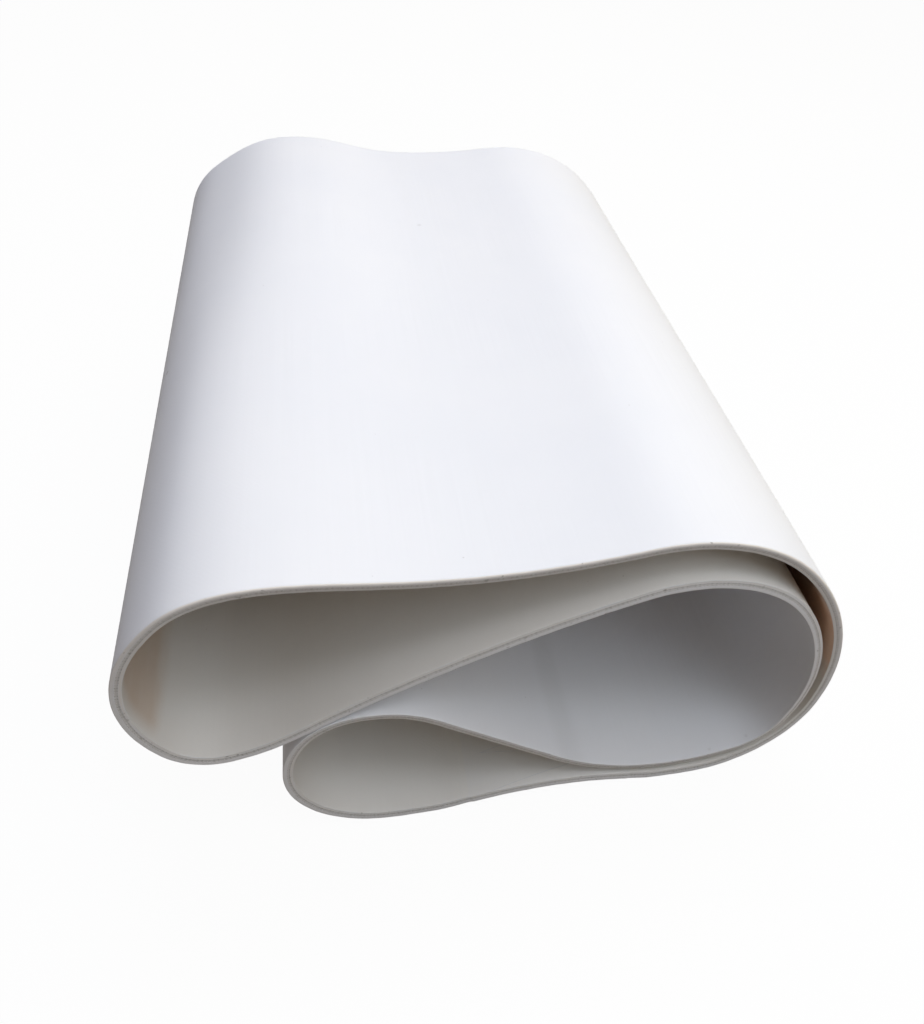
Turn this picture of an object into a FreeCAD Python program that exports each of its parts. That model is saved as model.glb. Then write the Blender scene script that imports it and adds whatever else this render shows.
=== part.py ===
import FreeCAD, Part
import math
import os

# An endless white PVC conveyor belt, folded over itself and resting on a floor.
# X runs along the folded stack, Y across the belt and Z up. The origin is on the floor, under the
# middle of the stack. Lengths are millimetres and angles are degrees.

# Belt sheet, its layers counted from the carrying face to the pulley face
BELT_WIDTH = 450.0
CARRY_COVER = 2.0
CARRY_PLY = 0.55
INTERPLY_SKIM = 0.4
PULLEY_PLY = 0.55
PULLEY_COVER = 1.5

# Finger splice that closes the belt, on the sheet that lies on the floor
FINGER_LENGTH = 70.0
FINGER_PITCH = 25.0
SEAM_WIDTH = 0.4

# The fold is a closed line along the middle of the sheet, walked clockwise with the carrying face on
# the left. Radii are those of the middle line. A turn angle is how far one arc bends the line before
# the next arc takes over, and a heading is the line's direction, anticlockwise from +X.

# Inner right-hand loop, from the sheet below it round to the sheet above it
INNER_FLOOR_RADIUS = 124.0
INNER_CORNER_RADIUS = 35.0
INNER_SIDE_RADIUS = 111.0
INNER_SHOULDER_RADIUS = 83.0
INNER_TOP_RADIUS = 720.0
INNER_FLOOR_RISE = 18.0
INNER_CORNER_TURN = 53.0
INNER_SIDE_TURN = 56.5

# Outer right-hand bend, wrapped round the inner loop
NEST_GAP = 2.2
NEST_EASE = 22.0
CROWN_GAP = 22.0
OUTER_CROWN_RADIUS = 95.5
OUTER_CROWN_FALL = 43.5
OUTER_SIDE_TURN = 54.0

# Bottom sheet: two flat strips on the floor and a low arch between them
FLOOR_SPAN = 174.0
REST_STRIP = 18.0
ARCH_HEIGHT = 9.5
LIFT_RADIUS = 50.5
ARCH_GAP = 4.4

# Lower left-hand loop
HEEL_RADIUS = 54.0
CREST_RADIUS = 36.0
BROW_RADIUS = 52.0
HEEL_TURN = 121.0
CREST_TURN = 48.5

# Upper left-hand loop, which overhangs the lower one and leans on it
LEAN_GAP = 0.5
LEAN_REACH = 10.5
BOWL_RADIUS = 96.0
CORNER_RADIUS = 26.0
CROWN_RADIUS = 68.5
BOWL_TURN = 20.5
CORNER_TURN = 65.5

# Top sheet: how far it sags between the two crowns
TOP_SAG = 8.1

# Room that the slit's cutter leaves round the sheet it cuts
CUTTER_MARGIN = 0.2

LAYERS = (
    ("carry_cover", CARRY_COVER),
    ("carry_ply", CARRY_PLY),
    ("interply_skim", INTERPLY_SKIM),
    ("pulley_ply", PULLEY_PLY),
    ("pulley_cover", PULLEY_COVER),
)
THICKNESS = sum(layer_thickness for _, layer_thickness in LAYERS)
HALF = THICKNESS / 2

LEFT_TURN = 1
RIGHT_TURN = -1
BACKWARDS = -180.0
POINT_TOLERANCE = 1e-6
CONTACT_STEPS = 60


def along(heading):
    """Unit vector in the direction of a heading."""
    angle = math.radians(heading)
    return FreeCAD.Vector(math.cos(angle), 0, math.sin(angle))


def left_of(heading):
    """Unit vector at a right angle to a heading, on its left."""
    return along(heading + 90)


class Arc:
    """One arc of the fold line; leave is the heading with which the line leaves it, once that is known."""

    def __init__(self, centre, radius, side, leave=None):
        self.centre = centre
        self.radius = radius
        self.side = side
        self.leave = leave

    def point(self, heading, offset=0.0):
        """Point of the arc with this heading, moved to the left of the line by offset."""
        return self.centre - left_of(heading) * (self.side * self.radius - offset)


def compound_bend(radii, leaves, side, anchor, anchor_centre):
    """Arcs of one turning sense that run into each other, placed by the centre of one of them."""
    centres = [None] * len(radii)
    centres[anchor] = anchor_centre
    for index in range(anchor, len(radii) - 1):
        step = side * (radii[index + 1] - radii[index])
        centres[index + 1] = centres[index] + left_of(leaves[index]) * step
    for index in range(anchor, 0, -1):
        step = side * (radii[index - 1] - radii[index])
        centres[index - 1] = centres[index] + left_of(leaves[index - 1]) * step
    ends = list(leaves) + [None]
    return [Arc(*values) for values in zip(centres, radii, [side] * len(radii), ends)]


def tangent_heading(first, second):
    """Heading of the straight run that leaves the first arc and meets the second."""
    between = second.centre - first.centre
    offset = second.side * second.radius - first.side * first.radius
    return math.degrees(math.atan2(between.z, between.x) - math.asin(offset / between.Length))


def touch_heading(first, second):
    """Heading where one arc passes into the next with no straight run: square to the line of centres."""
    between = second.centre - first.centre
    if second.side * second.radius < first.side * first.radius:
        between = between * -1
    return math.degrees(math.atan2(between.z, between.x)) - 90


def dip_between(first, second, depth):
    """Arc of a dip that passes straight into the bends on either side of it.

    The depth is measured from the straight line that would span the two bends.
    """
    heading = tangent_heading(first, second)
    start = first.point(heading)
    span = (second.point(heading) - start).Length
    lowest = (span + 2 * depth * (first.radius - second.radius) / span) / 2
    radius = (lowest ** 2 + depth ** 2) / (2 * depth) - first.radius
    centre = start + along(heading) * lowest + left_of(heading) * (radius - depth)
    dip = Arc(centre, radius, LEFT_TURN)
    first.leave = touch_heading(first, dip)
    dip.leave = touch_heading(dip, second)
    return dip


def inner_loop(lowest):
    """Right-hand inner loop, with the middle line's lowest point at this height over X = 0."""
    radii = (INNER_FLOOR_RADIUS, INNER_CORNER_RADIUS, INNER_SIDE_RADIUS, INNER_SHOULDER_RADIUS)
    corner_leave = INNER_FLOOR_RISE + INNER_CORNER_TURN
    leaves = (INNER_FLOOR_RISE, corner_leave, corner_leave + INNER_SIDE_TURN)
    return compound_bend(radii, leaves, LEFT_TURN, 0, FreeCAD.Vector(0, 0, lowest + INNER_FLOOR_RADIUS))


def outer_bend(inner):
    """Right-hand outer bend: nested round the inner loop's corner, on the floor and over its crown."""
    corner = inner[1]
    foot_radius = corner.radius + THICKNESS + NEST_GAP + NEST_EASE
    foot_height = HALF + foot_radius
    across = math.sqrt(NEST_EASE ** 2 - (foot_height - corner.centre.z) ** 2)
    foot_centre = FreeCAD.Vector(corner.centre.x - across, 0, foot_height)
    crown_leave = -OUTER_CROWN_FALL
    side_leave = crown_leave - OUTER_SIDE_TURN
    shoulder = inner[3]
    crown_top = shoulder.centre.z + shoulder.radius + THICKNESS + CROWN_GAP
    crown_cos = math.cos(math.radians(crown_leave))
    side_cos = math.cos(math.radians(side_leave))
    rise = crown_top - foot_height - foot_radius * side_cos - OUTER_CROWN_RADIUS * (1 - crown_cos)
    side_radius = rise / (crown_cos - side_cos)
    radii = (OUTER_CROWN_RADIUS, side_radius, foot_radius)
    return compound_bend(radii, (crown_leave, side_leave), RIGHT_TURN, 2, foot_centre)


def bottom_sheet(foot):
    """Lift, arch and landing of the sheet on the floor, which ends one rest strip from either bend."""
    lift_height = HALF + LIFT_RADIUS
    lift_place = foot.centre.x - REST_STRIP
    landing_place = foot.centre.x - FLOOR_SPAN + REST_STRIP
    lift = Arc(FreeCAD.Vector(lift_place, 0, lift_height), LIFT_RADIUS, RIGHT_TURN)
    landing = Arc(FreeCAD.Vector(landing_place, 0, lift_height), LIFT_RADIUS, RIGHT_TURN)
    return [lift, dip_between(lift, landing, ARCH_HEIGHT), landing]


def right_side():
    """Inner loop, outer bend and bottom sheet, with the inner loop just clear of the arch below it."""
    lowest = HALF + THICKNESS
    for _ in range(CONTACT_STEPS):
        inner = inner_loop(lowest)
        outer = outer_bend(inner)
        bottom = bottom_sheet(outer[-1])
        reach = bottom[1].radius + inner[0].radius + THICKNESS + ARCH_GAP
        lowest += reach - (inner[0].centre - bottom[1].centre).Length
    return inner, outer, bottom


def lower_left_loop(foot):
    """Lower left-hand loop, from the floor over its crest to the sheet inside the fold."""
    heel_leave = BACKWARDS - HEEL_TURN
    leaves = (heel_leave, heel_leave - CREST_TURN)
    heel_centre = FreeCAD.Vector(foot.centre.x - FLOOR_SPAN, 0, HALF + HEEL_RADIUS)
    return compound_bend((HEEL_RADIUS, CREST_RADIUS, BROW_RADIUS), leaves, RIGHT_TURN, 0, heel_centre)


def slanting_sheet(shoulder, crest):
    """Long arc of the sheet that slants from the inner loop's shoulder and leans on the lower loop's crest."""
    leaned_on = Arc(crest.centre, crest.radius + THICKNESS + LEAN_GAP, LEFT_TURN)
    between = leaned_on.centre - shoulder.centre
    heading = math.degrees(math.atan2(between.z, between.x))
    from_shoulder = INNER_TOP_RADIUS - shoulder.radius
    from_crest = INNER_TOP_RADIUS - leaned_on.radius
    forward = (from_shoulder ** 2 - from_crest ** 2 + between.Length ** 2) / (2 * between.Length)
    below = math.sqrt(from_shoulder ** 2 - forward ** 2)
    centre = shoulder.centre + along(heading) * forward + left_of(heading) * below
    slant = Arc(centre, INNER_TOP_RADIUS, LEFT_TURN)
    shoulder.leave = touch_heading(shoulder, slant)
    slant.leave = touch_heading(slant, leaned_on)
    return slant


def upper_left_loop(slant):
    """Upper left-hand loop, which starts a short reach past the place where the sheet leans."""
    start = slant.point(slant.leave) + along(slant.leave) * LEAN_REACH
    bowl_centre = start - left_of(slant.leave) * BOWL_RADIUS
    bowl_leave = slant.leave - BOWL_TURN
    leaves = (bowl_leave, bowl_leave - CORNER_TURN)
    return compound_bend((BOWL_RADIUS, CORNER_RADIUS, CROWN_RADIUS), leaves, RIGHT_TURN, 0, bowl_centre)


def fold_line():
    """All arcs in walking order from the top sheet's sag, and those of the bottom sheet by themselves."""
    inner, outer, bottom = right_side()
    lower = lower_left_loop(outer[-1])
    slant = slanting_sheet(inner[-1], lower[1])
    upper = upper_left_loop(slant)
    sag = dip_between(upper[-1], outer[0], TOP_SAG)
    arcs = [sag] + outer + bottom + lower + inner + [slant] + upper
    leftmost = upper[-1].centre.x - upper[-1].radius
    rightmost = outer[1].centre.x + outer[1].radius
    to_middle = FreeCAD.Vector(-(leftmost + rightmost) / 2, 0, 0)
    for index, arc in enumerate(arcs):
        if arc.leave is None:
            arc.leave = tangent_heading(arc, arcs[index + 1])
    for arc in arcs:
        arc.centre = arc.centre + to_middle
    floor_arcs = [outer[-1]] + bottom + [lower[0]]
    return arcs, floor_arcs


def line_edge(start, end):
    """List with the straight edge between two points, or nothing where they are the same point."""
    if (end - start).Length < POINT_TOLERANCE:
        return []
    return [Part.LineSegment(start, end).toShape()]


def arc_edge(arc, arrive, offset):
    """Edge of one arc from the heading where the line arrives, at an offset to the left of the line."""
    turn = (arc.side * (arc.leave - arrive)) % 360
    middle = arrive + arc.side * turn / 2
    ends = [arc.point(heading, offset) for heading in (arrive, middle, arc.leave)]
    return Part.Arc(*ends).toShape()


def run_edge(arc, following, offset):
    """List with the straight run between two arcs, or nothing where they touch."""
    return line_edge(arc.point(arc.leave, offset), following.point(arc.leave, offset))


def closed_line(arcs, offset):
    """Closed wire at an offset to the left of the fold line."""
    edges = []
    for index, arc in enumerate(arcs):
        edges += run_edge(arcs[index - 1], arc, offset)
        edges.append(arc_edge(arc, arcs[index - 1].leave, offset))
    return Part.Wire(edges)


def across_belt(face, overhang=0.0):
    """Solid of a side-view face carried across the belt, with the same overhang at both edges."""
    placed = face.copy()
    placed.translate(FreeCAD.Vector(0, -BELT_WIDTH / 2 - overhang, 0))
    return placed.extrude(FreeCAD.Vector(0, BELT_WIDTH + 2 * overhang, 0))


def sheet_layer(arcs, carry_offset, pulley_offset):
    """Closed band of one layer, between its two offsets from the fold line."""
    outline = [closed_line(arcs, carry_offset), closed_line(arcs, pulley_offset)]
    face = Part.makeFace(outline, "Part::FaceMakerBullseye")
    return across_belt(face)


def floor_band(floor_arcs, margin):
    """Sheet on the floor from one rest strip to the other, thickened by a margin all round."""
    foot, *bends, heel = floor_arcs
    edges = []
    for offset in (HALF + margin, -HALF - margin):
        for previous, arc in zip(floor_arcs, bends):
            edges += run_edge(previous, arc, offset)
            edges.append(arc_edge(arc, previous.leave, offset))
        edges += run_edge(bends[-1], heel, offset)
    for arc in (foot, heel):
        edges += line_edge(arc.point(BACKWARDS, HALF + margin), arc.point(BACKWARDS, -HALF - margin))
    outline = Part.Wire(Part.__sortEdges__(edges))
    return across_belt(Part.Face(outline), margin)


def finger_slit(floor_arcs):
    """Upright zigzag wall along the line between the interlocked fingers of the belt's two ends."""
    arch = floor_arcs[2]
    fingers = max(1, round(BELT_WIDTH / FINGER_PITCH))
    half_pitch = BELT_WIDTH / fingers / 2
    flank = math.hypot(FINGER_LENGTH, half_pitch)
    half_slit = SEAM_WIDTH * flank / half_pitch / 2
    bottom = -THICKNESS
    top = ARCH_HEIGHT + 2 * THICKNESS

    def corner(index, shift):
        reach = FINGER_LENGTH / 2 if index % 2 else -FINGER_LENGTH / 2
        return FreeCAD.Vector(arch.centre.x + reach + shift, index * half_pitch - BELT_WIDTH / 2, bottom)

    indices = range(-1, 2 * fingers + 2)
    near_side = [corner(index, -half_slit) for index in indices]
    far_side = [corner(index, half_slit) for index in reversed(indices)]
    outline = Part.makePolygon(near_side + far_side + near_side[:1])
    return Part.Face(outline).extrude(FreeCAD.Vector(0, 0, top - bottom))


def main():
    arcs, floor_arcs = fold_line()
    slit = finger_slit(floor_arcs)
    cutter = slit.common(floor_band(floor_arcs, CUTTER_MARGIN))
    pieces = {}
    carry_offset = HALF
    for name, layer_thickness in LAYERS:
        pulley_offset = carry_offset - layer_thickness
        pieces[name] = sheet_layer(arcs, carry_offset, pulley_offset).cut(cutter)
        carry_offset = pulley_offset
    pieces["splice_weld"] = slit.common(floor_band(floor_arcs, 0.0))
    os.makedirs("parts", exist_ok=True)
    for name, shape in pieces.items():
        solid = shape.Solids[0] if len(shape.Solids) == 1 else shape
        solid.exportStep("parts/" + name + ".step")
        print(name, "solids", len(shape.Solids), "volume", round(shape.Volume), "valid", shape.isValid())
    print("belt length", round(closed_line(arcs, 0.0).Length, 1))


main()
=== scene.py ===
"""Looks of an endless white PVC conveyor belt, folded over itself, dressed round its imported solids.

The carrying face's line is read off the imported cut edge. Every layer of the laminate is a closed section
carried round that line, so all five layers bend together and stay bonded.
"""

import logging
import math
from dataclasses import dataclass
from enum import Enum

import bpy
import numpy as np
from mathutils import Matrix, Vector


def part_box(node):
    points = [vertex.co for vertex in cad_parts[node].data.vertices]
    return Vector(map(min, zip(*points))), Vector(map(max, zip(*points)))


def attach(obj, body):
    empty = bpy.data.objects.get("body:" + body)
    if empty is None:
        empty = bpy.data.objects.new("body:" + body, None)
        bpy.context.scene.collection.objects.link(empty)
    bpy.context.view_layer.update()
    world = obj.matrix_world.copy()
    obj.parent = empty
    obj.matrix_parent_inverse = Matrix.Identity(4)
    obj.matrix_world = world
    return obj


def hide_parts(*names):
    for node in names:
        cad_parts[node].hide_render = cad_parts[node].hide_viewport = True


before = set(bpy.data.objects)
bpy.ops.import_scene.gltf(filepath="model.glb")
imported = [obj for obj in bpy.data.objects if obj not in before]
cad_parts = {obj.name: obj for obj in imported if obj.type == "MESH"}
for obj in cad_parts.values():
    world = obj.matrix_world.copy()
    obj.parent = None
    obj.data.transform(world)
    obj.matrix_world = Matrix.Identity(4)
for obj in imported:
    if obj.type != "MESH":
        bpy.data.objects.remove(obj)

LOG = logging.getLogger("conveyor_belt")
MM = 0.001
BODY = "root"
IMAGE_WIDTH, IMAGE_HEIGHT = 924, 1024
SHARP_TURN = math.radians(45)
SMOOTH_LIMIT = math.radians(40)
WHITE = (1.0, 1.0, 1.0, 1.0)

Colour = tuple[float, float, float]
Socket = bpy.types.NodeSocket


class End(Enum):
    """The two ends of the belt's width, by their direction along Y."""

    NEAR = -1
    FAR = 1


class EdgeCut(Enum):
    """How a layer looks where the knife went through it."""

    CLEAN = "clean"
    YARN_ENDS = "yarn ends"


def smooth_step(value: np.ndarray) -> np.ndarray:
    """Zero below 0, one above 1, and 3v^2 - 2v^3 between them."""
    held = np.clip(value, 0.0, 1.0)
    return held * held * (3.0 - 2.0 * held)


def wrapped(distance: np.ndarray, length: float) -> np.ndarray:
    """A distance along a closed line, measured the shorter way round."""
    return np.mod(distance + 0.5 * length, length) - 0.5 * length


def cut_edge_outline(mesh: bpy.types.Mesh, merge: float = 0.002 * MM, cap: float = 0.01 * MM) -> np.ndarray:
    """Walk round the flat cut edge at the belt's near side.

    The cap's triangles are those whose corners all have the least y. A side that belongs to one triangle only
    is on the outline and leads from one corner to the next. Following those leads for 1, 2, 4, 8 ... corners
    at once puts the whole outline in order without stepping along it.

    Args:
        mesh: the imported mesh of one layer, loose triangles.
        merge: grid on which corners that meet become one.
        cap: how near the least y a corner of the cap lies.

    Returns:
        The outline's corners in order, as rows of x and z.
    """
    mesh.calc_loop_triangles()
    places = np.empty(len(mesh.vertices) * 3, np.float32)
    mesh.vertices.foreach_get("co", places)
    places = places.reshape(-1, 3).astype(float)
    corners = np.empty(len(mesh.loop_triangles) * 3, np.int32)
    mesh.loop_triangles.foreach_get("vertices", corners)
    grid = np.round(places / merge).astype(np.int64)
    unique, first, merged = np.unique(grid, axis=0, return_index=True, return_inverse=True)
    triangles = merged.reshape(-1)[corners].reshape(-1, 3)
    places = places[first]
    on_cap = places[:, 1] < places[:, 1].min() + cap
    caps = triangles[on_cap[triangles].all(axis=1)]
    start = caps.reshape(-1)
    end = np.roll(caps, -1, axis=1).reshape(-1)
    count = len(unique)
    lone = ~np.isin(start.astype(np.int64) * count + end, end.astype(np.int64) * count + start)
    leads = np.arange(count)
    leads[start[lone]] = end[lone]
    order = np.array([start[lone][0]])
    while len(order) < lone.sum():
        order = np.concatenate([order, leads[order]])
        leads = leads[leads]
    return places[order[: lone.sum()]][:, [0, 2]]


@dataclass(frozen=True)
class FoldLine:
    """The line of the carrying face round all the folds, closed, in x and z.

    Attributes:
        points: places on the line, evenly spaced, as rows of x and z.
        outward: unit vectors from the line to the carrying side.
        length: the length of the closed line.
    """

    NEARBY = 2.0 * MM

    points: np.ndarray
    outward: np.ndarray
    length: float

    @classmethod
    def from_cut_edge(
        cls, node: bpy.types.Object, spacing: float = 0.5 * MM, blur: float = 4.0 * MM
    ) -> "FoldLine":
        """Read the line off a layer's cut edge and ease it as a real sheet eases between bends.

        The outline has four sharp corners at the splice. The longest run between two of them is the carrying
        face. It is closed over the splice, spaced evenly, and each of its waves is damped by a bell curve of
        the blur's width, which leaves long bends alone and takes the corners off the tessellation. A second
        pass evens the spacing again, with hardly any blur.

        Args:
            node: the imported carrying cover.
            spacing: distance between the line's points.
            blur: half width of the bell curve.

        Returns:
            The line, walked with the carrying side on the right.
        """
        outline = cut_edge_outline(node.data)
        step = np.roll(outline, -1, axis=0) - outline
        heading = np.arctan2(step[:, 1], step[:, 0])
        turn = np.angle(np.exp(1j * (heading - np.roll(heading, 1))))
        sharp = np.flatnonzero(np.abs(turn) > SHARP_TURN)
        outline = np.roll(outline, -sharp[0], axis=0)
        bounds = np.append(sharp - sharp[0], len(outline))
        runs = [outline[a: b + 1] for a, b in zip(bounds[:-1], bounds[1:])]
        lengths = [np.hypot(*np.diff(run, axis=0).T).sum() for run in runs]
        run = runs[int(np.argmax(lengths))]
        following = np.roll(run, -1, axis=0)
        if (run[:, 0] * following[:, 1] - following[:, 0] * run[:, 1]).sum() < 0.0:
            run = run[::-1]
        for width in (blur, 0.5 * spacing):
            closed = np.vstack([run, run[:1]])
            along = np.concatenate([[0.0], np.cumsum(np.hypot(*np.diff(closed, axis=0).T))])
            count = int(along[-1] / spacing)
            stations = np.arange(count) * along[-1] / count
            even = np.stack([np.interp(stations, along, closed[:, k]) for k in (0, 1)], axis=1)
            waves = 2.0 * math.pi * np.fft.fftfreq(count, along[-1] / count)
            damping = np.exp(-0.5 * (waves * width) ** 2)[:, None]
            run = np.fft.ifft(np.fft.fft(even, axis=0) * damping, axis=0).real
        ahead = np.roll(run, -1, axis=0) - np.roll(run, 1, axis=0)
        ahead /= np.hypot(ahead[:, 0], ahead[:, 1])[:, None]
        return cls(run, np.stack([ahead[:, 1], -ahead[:, 0]], axis=1), float(along[-1]))

    def at(self, station: np.ndarray) -> tuple[np.ndarray, np.ndarray]:
        """Places and outward vectors at distances along the line, which repeats after its length.

        Args:
            station: distances along the line, any shape.

        Returns:
            Two arrays with x and z in the last axis.
        """
        grid = np.arange(len(self.points)) * self.length / len(self.points)
        both = [
            np.stack([np.interp(station, grid, table[:, k], period=self.length) for k in (0, 1)], axis=-1)
            for table in (self.points, self.outward)
        ]
        return both[0], both[1]

    def station_of(self, index: int) -> float:
        """Station of one of the line's points."""
        return float(index * self.length / len(self.points))

    def station_over(self, x: float) -> float:
        """Station of the highest point of the line near x."""
        near = np.abs(self.points[:, 0] - x) < self.NEARBY
        return self.station_of(np.argmax(np.where(near, self.points[:, 1], -np.inf)))

    def station_under(self, x: float) -> float:
        """Station of the lowest point of the line near x."""
        near = np.abs(self.points[:, 0] - x) < self.NEARBY
        return self.station_of(np.argmin(np.where(near, self.points[:, 1], np.inf)))

    def station_rightmost(self, start: float = 0.0) -> float:
        """Station of the point with the greatest x, from a starting station on."""
        first = int(start * len(self.points) / self.length)
        return self.station_of(first + np.argmax(self.points[first:, 0]))


@dataclass(frozen=True)
class KnifeEdge:
    """How far a slit edge strays from straight and square.

    Its waves are sines, each with a count round the belt, a height, and a share of the phase.

    Attributes:
        wander: long wander of the strip under the knife.
        chatter: short chatter of the knife.
        lean: how much further out the knife left the carrying face than the pulley face.
        phase: where the waves start.
    """

    LONG_WAVES = ((5, 1.0, 1.0), (13, 0.6, 2.1))
    SHORT_WAVES = ((71, 1.0, 3.3), (163, 0.8, 1.0))

    wander: float
    chatter: float
    lean: float
    phase: float

    def stray(self, station: np.ndarray, share: np.ndarray, length: float) -> np.ndarray:
        """Whole waves round the belt, so that the edge meets itself, plus a slope with depth.

        Args:
            station: distances along the belt.
            share: depth below the carrying face as a share of the thickness.
            length: the belt's length, round which every wave fits.

        Returns:
            Distance outwards from the straight, square edge.
        """
        turn = 2.0 * math.pi * station / length
        long, short = (
            sum(height * np.sin(count * turn + shift * self.phase) for count, height, shift in waves)
            for waves in (self.LONG_WAVES, self.SHORT_WAVES)
        )
        return self.wander * long + self.chatter * short + self.lean * (0.5 - share)


@dataclass(frozen=True)
class Rise:
    """A place where the fold stands higher at one end of the belt's width than at the other.

    Attributes:
        station: distance along the belt.
        reach: half width of the bell curve along the belt.
        height: how far the sheet moves towards its carrying side at that end.
        end: which end of the width it is.
    """

    STEEPNESS = 0.75

    station: float
    reach: float
    height: float
    end: End

    def lift(self, station: np.ndarray, across: np.ndarray, length: float, half_width: float) -> np.ndarray:
        """Bell curve along the belt, times a smooth step over the middle two thirds of the width.

        Args:
            station: distances along the belt.
            across: distances from the middle of the width.
            length: the belt's length.
            half_width: half the belt's width.

        Returns:
            Distance towards the carrying side.
        """
        bell = np.exp(-0.5 * (wrapped(station - self.station, length) / self.reach) ** 2)
        return self.height * bell * smooth_step(0.5 + self.STEEPNESS * self.end.value * across / half_width)


@dataclass(frozen=True)
class Wear:
    """The stretch that lies outside in the stack, where handling has rubbed the cut corner rounder.

    Attributes:
        start: where it starts along the belt.
        end: where it ends.
        fade: distance over which it fades at both ends.
    """

    start: float
    end: float
    fade: float

    # This share also sets where the cut edge shows the painted rim glow.
    def share(self, station: np.ndarray) -> np.ndarray:
        """One well inside the stretch, zero outside it, with a smooth step at each end."""
        begun = smooth_step((station - self.start) / self.fade)
        return begun * smooth_step((self.end - station) / self.fade)


@dataclass(frozen=True)
class BondedSheet:
    """The whole laminate as one sheet: gives the place of any length, width and depth in it.

    Attributes:
        line: the carrying face's line.
        half_width: half the belt's width.
        thickness: carrying face to pulley face.
        splice_station: middle of the finger splice along the line.
        near: the slit edge on the near side.
        far: the slit edge on the far side.
        rises: where the fold isn't the same all across the width.
        wear: where the cut corner is rubbed rounder.
        press_length: length of the zone that the splice press heated.
        press_shoulder: distance over which that zone fades.
        press_spread: how far it spreads past the slit edges.
    """

    line: FoldLine
    half_width: float
    thickness: float
    splice_station: float
    near: KnifeEdge
    far: KnifeEdge
    rises: tuple[Rise, ...]
    wear: Wear
    press_length: float = 96.0 * MM
    press_shoulder: float = 2.0 * MM
    press_spread: float = 0.35 * MM

    def pressed(self, station: np.ndarray) -> np.ndarray:
        """One inside the zone that the splice press heated, zero outside, with a smooth shoulder."""
        apart = np.abs(wrapped(station - self.splice_station, self.line.length))
        return smooth_step((0.5 * self.press_length - apart) / self.press_shoulder)

    def place(self, station: np.ndarray, across: np.ndarray, depth: np.ndarray) -> np.ndarray:
        """Point of the sheet: the line's point, plus the fold's rise less the depth along the outward vector.

        The width is stretched a little so that both slit edges stray as their knives did.

        Args:
            station: distance along the belt.
            across: distance from the middle of the width, towards +Y.
            depth: distance below the carrying face.

        Returns:
            Places in metres, with x, y and z in the last axis.
        """
        station, across, depth = np.broadcast_arrays(station, across, depth)
        point, outward = self.line.at(station)
        length = self.line.length
        lift = sum(rise.lift(station, across, length, self.half_width) for rise in self.rises)
        spread = self.press_spread * self.pressed(station)
        share = depth / self.thickness
        far_share = 0.5 + 0.5 * across / self.half_width
        sideways = far_share * (self.far.stray(station, share, length) + spread)
        sideways = sideways - (1.0 - far_share) * (self.near.stray(station, share, length) + spread)
        moved = point + outward * (lift - depth)[..., None]
        return np.stack([moved[..., 0], across + sideways, moved[..., 1]], axis=-1)


def grid_mesh(
    name: str,
    rings: np.ndarray,
    sheet_map: np.ndarray,
    values: dict[str, np.ndarray],
    round_trip: float | None,
) -> bpy.types.Mesh:
    """Skin a row of closed rings with quads.

    Ring i's corner j joins ring i + 1's corner j, and corner j + 1 follows corner j round the ring. With a
    round trip the last ring joins the first one, and the map's first coordinate runs on to that length there.
    Without it both end rings are closed by one face each. The signed volume decides which way round the faces
    go.

    Args:
        name: the mesh's name.
        rings: places, with axes ring, corner and x, y, z.
        sheet_map: length and width on the flat belt for each corner.
        values: named numbers for each corner, for the finish to read.
        round_trip: the belt's length where the rings close on themselves.

    Returns:
        The mesh, smooth apart from corners sharper than the smooth limit.
    """
    count, corners = rings.shape[:2]
    last = count if round_trip else count - 1
    here = np.arange(last)[:, None]
    side = np.arange(corners)[None, :]
    after = (here + 1) % count
    beside = (side + 1) % corners
    ring_corners = ((here, side), (after, side), (after, beside), (here, beside))
    quads = np.stack([ring * corners + corner for ring, corner in ring_corners], axis=-1).reshape(-1, 4)
    flat = rings.reshape(-1, 3)
    a, b, c, d = (flat[quads[:, k]] for k in range(4))
    volume = (np.cross(a, b) * c).sum() + (np.cross(a, c) * d).sum()
    wide = np.concatenate([sheet_map, sheet_map[:1]])
    if round_trip:
        wide[-1, :, 0] += round_trip
    rows = np.stack([here, here + 1, here + 1, here], axis=-1)
    columns = np.stack([side, side, beside, beside], axis=-1)
    corner_map = wide[rows, columns].reshape(-1, 4, 2)
    if volume < 0.0:
        quads = quads[:, ::-1]
        corner_map = corner_map[:, ::-1]
    mesh = bpy.data.meshes.new(name)
    faces = quads.tolist()
    if not round_trip:
        first = list(range(corners))
        final = list(range((count - 1) * corners, count * corners))
        faces += [first, final[::-1]] if volume > 0.0 else [first[::-1], final]
    mesh.from_pydata(flat.tolist(), [], faces)
    uv = mesh.uv_layers.new(name="belt_map")
    loops = np.zeros((len(mesh.loops), 2), np.float32)
    loops[: corner_map.shape[0] * 4] = corner_map.reshape(-1, 2)
    uv.data.foreach_set("uv", loops.reshape(-1))
    for key, numbers in values.items():
        layer = mesh.attributes.new(key, "FLOAT", "POINT")
        layer.data.foreach_set("value", np.ascontiguousarray(numbers, np.float32).reshape(-1))
    mesh.polygons.foreach_set("use_smooth", np.ones(len(mesh.polygons), bool))
    mesh.set_sharp_from_angle(angle=SMOOTH_LIMIT)
    mesh.update()
    return mesh


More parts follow.
